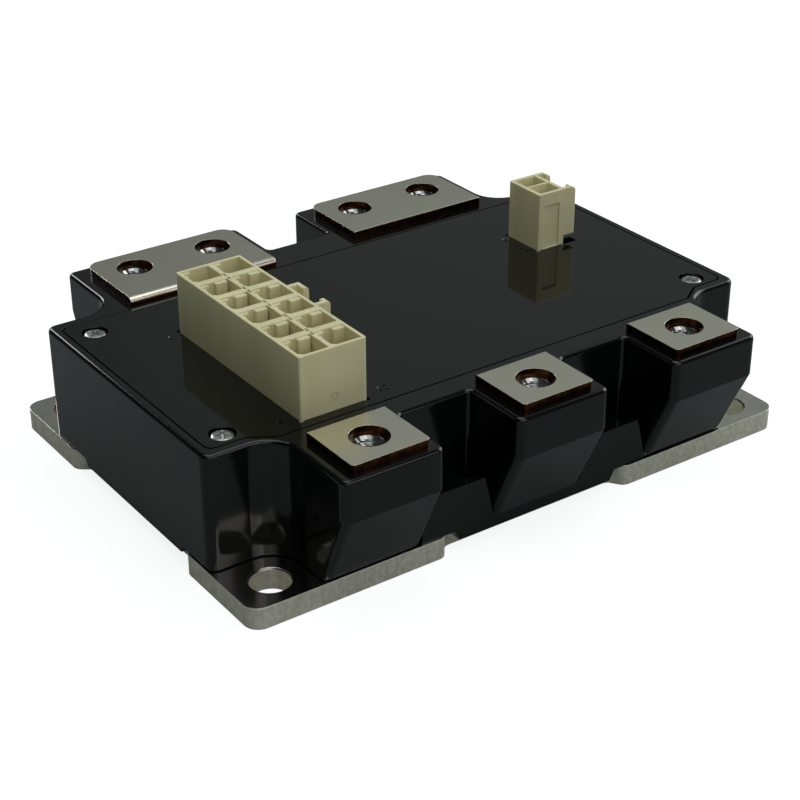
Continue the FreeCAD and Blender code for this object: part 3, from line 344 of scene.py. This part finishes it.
# Case frame: glass-filled black polyester, moulded round the terminals in a polished tool.
# It is glued and screwed to the plate, and its blocks hold the nuts under the terminals.
case = Finish("black_polyester", IOR=1.47)
flow = case.noise(28, 4)
orange_peel = case.noise(900, 2)
fibre = case.noise(2600, 3)
case.paint("Base Color", case.mix(flow, (0.0013, 0.0017, 0.0017), (0.0021, 0.0026, 0.0026)))
case.paint("Roughness", 0.075 + 0.07 * flow + 0.03 * fibre)
case.relief(orange_peel + 0.2 * fibre, 0.06, 0.00003, 0.00015)
dress(case, "case_frame")


# Nuts: hexagons of plated steel, 10 mm across flats, with an M6 thread.
# They lie loose in pockets under the holes of the terminals, so that they can't turn.
NUT_TOP, NUT_HEIGHT, NUT_FLATS, NUT_CHAMFER, NUT_FACE_INSET = 27.48, 5.0, 10.0, 0.5, 0.15
THREAD_INNER, THREAD_OUTER, THREAD_PITCH, MOUTH_GAP = 2.5, 2.96, 1.0, 0.05
PHASE_NUTS = [(x, -42.3) for x in (-36.0, 0.0, 36.0)]
SUPPLY_NUTS = [(x, 41.9) for x in (-35.8, -17.8, 17.8, 35.8)]


def nut_patch(x, y):
    """Outside: rings whose radius is apothem / cos(turn within a flat), capped by a cone at both ends.
    Bore: radius = inner + depth * |2 frac(z / pitch - turn) - 1|, a V thread of one pitch a turn."""
    turn = np.linspace(0, 2 * math.pi, 73)
    bottom = NUT_TOP - NUT_HEIGHT
    hexagon = NUT_FLATS / 2 / np.cos(turn % (math.pi / 3) - math.pi / 6)
    flat = np.full_like(turn, NUT_FLATS / 2 - NUT_FACE_INSET)
    drop = (hexagon - flat) * 0.5
    mouth = np.full_like(turn, THREAD_OUTER + MOUTH_GAP)
    level = np.ones_like(turn)
    rings = [(mouth, bottom * level), (flat, bottom * level), (hexagon, bottom + drop),
             (hexagon, NUT_TOP - drop), (flat, NUT_TOP * level), (mouth, NUT_TOP * level)]
    top_thread = NUT_TOP - NUT_CHAMFER
    for z in np.linspace(top_thread, bottom + NUT_CHAMFER, 45):
        wave = np.abs(2 * ((z / THREAD_PITCH - turn / (2 * math.pi)) % 1) - 1)
        rings.append((THREAD_INNER + (THREAD_OUTER - THREAD_INNER) * wave, z * level))
    rings.append(rings[0])
    radius = np.array([ring[0] for ring in rings])
    height = np.array([ring[1] for ring in rings])
    return np.stack([x + radius * np.cos(turn), y + radius * np.sin(turn), height], -1) / 1000


steel = Finish("plated_steel", Metallic=1.0)
swirl = steel.noise(900, 3)
steel.paint("Base Color", steel.mix(swirl, (0.40, 0.41, 0.39), (0.55, 0.56, 0.54)))
steel.paint("Roughness", 0.08 + 0.12 * swirl)
steel.relief(swirl, 0.2, 0.00002)
nuts = grids("threaded_nuts", [nut_patch(x, y) for x, y in PHASE_NUTS + SUPPLY_NUTS], steel)
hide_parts("terminal_nuts")
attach(nuts, "root")


# Sockets: ivory nylon housings with twelve and two keyed cells, soldered to the board by their pins.
# They stand up through close openings in the lid, and their ears hold the latches of the plugs.
PAINTED_SHADE_FULL_Z, PAINTED_SHADE_END_Z = 0.0300, 0.0388
nylon = Finish("ivory_nylon", IOR=1.53, Subsurface_Weight=0.35, Subsurface_Scale=0.0012,
               Subsurface_Radius=(1.0, 0.85, 0.5))
z = nylon.axes(nylon.place())[2]
cloud = nylon.noise(60, 3)
skin = nylon.noise(1500, 2)
streak = nylon.noise(240, 2, (1, 1, 0.03)).rise(0.35, 0.65)
# Painted shade: below 38.8 mm the ivory is mixed towards a darker yellow, by up to 0.35 at 30 mm and
# lower, as shade deep in the cells and on the lower walls.
painted_cell_shade = 1 - z.rise(PAINTED_SHADE_FULL_Z, PAINTED_SHADE_END_Z)
ivory = nylon.mix(cloud * 0.45 + streak * 0.55, (0.67, 0.625, 0.38), (0.76, 0.72, 0.455))
nylon.paint("Base Color", nylon.mix(painted_cell_shade * 0.35, ivory, (0.62, 0.57, 0.32)))
nylon.paint("Roughness", 0.34 + 0.12 * cloud + 0.06 * skin)
nylon.relief(skin, 0.10, 0.00003, 0.0003)
dress(nylon, "gate_connector_housing", "sense_connector_housing")


# Lid: a 2.5 mm plate of black polyester with a polished face, let into the frame.
# Four screws hold it down on the frame's ledge.
gloss = Finish("polished_black_polyester", IOR=1.46)
wipe = gloss.noise(70, 5, (1, 3, 1))
scuff = gloss.noise(5200, 2, (1, 0.08, 1)).rise(0.70, 0.76)
dust = gloss.noise(4200, 1).rise(0.74, 0.78)
gloss.paint("Base Color", gloss.mix(dust * 0.4, (0.0013, 0.0017, 0.0017), (0.05, 0.05, 0.05)))
gloss.paint("Roughness", 0.035 + 0.04 * wipe + 0.08 * scuff + 0.20 * dust)
gloss.relief(gloss.noise(45, 2), 0.04, 0.0002)
dress(gloss, "lid")


# Pin marks: plain numbers moulded 0.12 mm proud of the lid, beside the corners of both sockets.
# They tell which cell is the first and which the last.
LID_TOP, MARK_SIZE, MARK_HEIGHT = 0.0275, 0.0024, 0.00012
PIN_MARKS = [("1", -44.6, 11.6), ("6", -44.8, -27.6), ("12", -24.0, -28.0),
             ("1", 35.2, 11.2), ("2", 35.2, 5.0)]


def flat_text(body, x, y):
    """Characters laid on the lid, as a mesh whose points are already in their place."""
    curve = bpy.data.curves.new("mark", "FONT")
    curve.body, curve.size, curve.extrude, curve.resolution_u = body, MARK_SIZE, MARK_HEIGHT, 2
    letters = bpy.data.objects.new("mark", curve)
    bpy.context.scene.collection.objects.link(letters)
    bpy.context.view_layer.update()
    mesh = bpy.data.meshes.new_from_object(letters.evaluated_get(bpy.context.evaluated_depsgraph_get()))
    bpy.data.objects.remove(letters)
    mesh.transform(Matrix.Translation((x / 1000, y / 1000, LID_TOP)))
    return mesh


work = bmesh.new()
for body, x, y in PIN_MARKS:
    work.from_mesh(flat_text(body, x, y))
mesh = bpy.data.meshes.new("pin_marks")
work.to_mesh(mesh)
work.free()
mesh.materials.append(gloss.material)
marks = bpy.data.objects.new("pin_marks", mesh)
bpy.context.scene.collection.objects.link(marks)
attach(marks, "root")


# Gate mark: a fine ring left by the mould on the front of the large socket, 1.4 mm across.
# It is part of the nylon moulding.
GATE_MARK_MIDDLE, GATE_MARK_RADIUS, GATE_MARK_TUBE = (-34.1, -29.0, 30.4), 0.6, 0.09


def ring_patch(x, y, z, radius, tube):
    """Torus round an axis along Y: the ring's circle plus tube * (cos, sin) of a second turn."""
    around, across = np.linspace(0, 2 * math.pi, 41), np.linspace(0, 2 * math.pi, 9)
    turn, roll = np.meshgrid(around, across, indexing="ij")
    reach = radius + tube * np.cos(roll)
    points = [x + reach * np.cos(turn), y + tube * np.sin(roll), z + reach * np.sin(turn)]
    return np.stack(points, -1) / 1000


gate_mark = grids("gate_mark", [ring_patch(*GATE_MARK_MIDDLE, GATE_MARK_RADIUS, GATE_MARK_TUBE)], nylon)
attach(gate_mark, "root")


# Lid screws: cross-recess pan heads of zinc-plated steel, 4.2 mm across.
# They sit in round recesses of the lid and cut their own thread in posts of the frame.
HEAD_RADIUS, HEAD_SEAT, HEAD_TOP, SHANK_RADIUS, SHANK_END = 2.1, 26.1, 27.3, 1.1, 18.0
CROSS_REACH, CROSS_HALF_WIDTH, CROSS_DEPTH = 1.45, 0.30, 1.0
DOME_DROP, TIP_LENGTH, TIP_RADIUS = 0.3, 1.2, 0.25


def step(values, low, high):
    """Smooth step from 0 at low to 1 at high."""
    share = np.clip((values - low) / (high - low), 0, 1)
    return share * share * (3 - 2 * share)


def screw_patch(x, y, turned):
    """Top: z = top - drop (r / head)^6 - cross, where each arm of the cross narrows and rises outwards.
    Then the profile goes down the side of the head, in under it, and down the shank to its tip."""
    turn = np.linspace(0, 2 * math.pi, 97)
    radius = np.linspace(0, HEAD_RADIUS, 34)[:, None]
    across, along = radius * np.cos(turn + turned), radius * np.sin(turn + turned)
    arms = []
    for u, v in ((across, along), (along, across)):
        inside = step(CROSS_HALF_WIDTH + 0.1 - abs(u) - 0.06 * abs(v), 0, 0.14)
        short = step(CROSS_REACH - abs(v), 0, 0.2)
        arms.append(inside * short * (1 - 0.35 * np.clip(abs(v) / CROSS_REACH, 0, 1)))
    dome = HEAD_TOP - DOME_DROP * (radius / HEAD_RADIUS) ** 6 - CROSS_DEPTH * np.maximum(*arms)
    profile = [(HEAD_RADIUS, HEAD_SEAT), (SHANK_RADIUS, HEAD_SEAT), (SHANK_RADIUS, SHANK_END + TIP_LENGTH),
               (TIP_RADIUS, SHANK_END), (0, SHANK_END)]
    below = np.array(profile)[..., None] * np.ones_like(turn)
    radii = np.concatenate([radius * np.ones_like(turn), below[:, 0]])
    heights = np.concatenate([dome, below[:, 1]])
    return np.stack([x + radii * np.cos(turn), y + radii * np.sin(turn), heights], -1) / 1000


SCREW_TURNS = {(-54.5, -24.8): 0.5, (-54.5, 22.9): 1.1, (54.5, -24.8): 0.2, (54.5, 22.9): 0.8}
zinc = Finish("zinc_plated_steel", Metallic=1.0)
bloom = zinc.noise(700, 4)
zinc.paint("Base Color", zinc.mix(bloom, (0.42, 0.43, 0.42), (0.56, 0.57, 0.56)))
zinc.paint("Roughness", 0.24 + 0.14 * bloom)
zinc.relief(bloom, 0.2, 0.00002)
heads = [screw_patch(x, y, turned) for (x, y), turned in SCREW_TURNS.items()]
screws = grids("cross_recess_screws", heads, zinc)
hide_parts("lid_screws")
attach(screws, "root")


# Floor: a grey sweep that the camera sees as white, with the module's shadow kept on it.
# Shiny pieces see a little of that white as well.
floor_finish = Finish("white_sweep", Roughness=0.9, Emission_Color=(1, 1, 1))
paper = floor_finish.noise(8, 2)
floor_finish.paint("Base Color", floor_finish.mix(paper, (0.243, 0.265, 0.268), (0.253, 0.275, 0.278)))
by_camera = floor_finish.node("ShaderNodeLightPath", {}, {}, "Is Camera Ray")
by_gloss = floor_finish.node("ShaderNodeLightPath", {}, {}, "Is Glossy Ray")
floor_finish.paint("Emission Strength", by_camera * 0.86 + by_gloss * 0.03)
corners = np.array([[(-3, -3, 0), (3, -3, 0)], [(-3, 3, 0), (3, 3, 0)]], float)
floor = grids("floor", [corners], floor_finish, smooth=False)


# Sky and lamps: a dim dome with three wide soft boxes, given by direction, border and strength.
# Three lamps add light from overhead, from the front and from behind.
world = bpy.data.worlds.new("studio")
bpy.context.scene.world = world
world.use_nodes = True
sky = Finish.__new__(Finish)
sky.tree = world.node_tree
x, y, z = sky.axes(sky.node("ShaderNodeTexCoord", {}, {}, "Generated"))
SOFT_BOXES = [((0.56, 0.57, 0.60), 0.85, 0.22), ((0.90, 0.0, 0.436), 0.85, 3.0),
              ((-0.35, -0.75, 0.56), 0.85, 0.75)]
glow = 0.04
for (east, north, up), border, strength in SOFT_BOXES:
    glow = glow + strength * (x * east + y * north + z * up).rise(border, 1.0) * z.rise(0.0, 0.08)
sky.fill(sky.tree.nodes["Background"].inputs["Color"], (0.92, 1.0, 0.98))
sky.fill(sky.tree.nodes["Background"].inputs["Strength"], glow)


def lamp(name, place, target, width, depth, watts, tint=(1.0, 1.0, 1.0)):
    """Soft rectangular lamp at place, turned to target, sizes in metres."""
    light = bpy.data.lights.new(name, "AREA")
    light.shape = "RECTANGLE"
    light.size, light.size_y = width, depth
    light.energy, light.color = watts, tint
    thing = bpy.data.objects.new(name, light)
    bpy.context.scene.collection.objects.link(thing)
    aim = (Vector(target) - Vector(place)).to_track_quat("-Z", "Y").to_matrix().to_4x4()
    thing.matrix_world = Matrix.Translation(place) @ aim
    thing.visible_camera = False


lamp("overhead", (0.0, 0.0, 0.9), (0, 0, 0), 0.8, 0.8, 3.1, (0.98, 0.99, 1.0))
lamp("front", (0.1165, -0.661, 0.436), (0, 0, 0.02), 0.58, 0.43, 0.95, (0.97, 0.94, 1.0))
lamp("back", (-0.05, 0.62, 0.34), (0, 0, 0.02), 0.2, 0.2, 0.8)


# Camera: 81 mm lens on a 36 mm sensor, near the left front corner and looking down on the lid.
CAMERA_PLACE = (-0.184441, -0.261712, 0.180375)
eye = bpy.data.cameras.new("eye")
eye.lens, eye.sensor_width = 81.3746, 36.0
camera = bpy.data.objects.new("eye", eye)
right = Vector((0.8165598, -0.5772576, -0.0019529))
down = Vector((-0.2778446, -0.3900553, -0.877872))
ahead = Vector((0.5059965, 0.7173776, -0.4788913))
turned = Matrix((right, -down, -ahead)).transposed().to_4x4()
camera.matrix_world = Matrix.Translation(CAMERA_PLACE) @ turned
bpy.context.scene.collection.objects.link(camera)
bpy.context.scene.camera = camera
bpy.context.scene.view_settings.view_transform = "Standard"
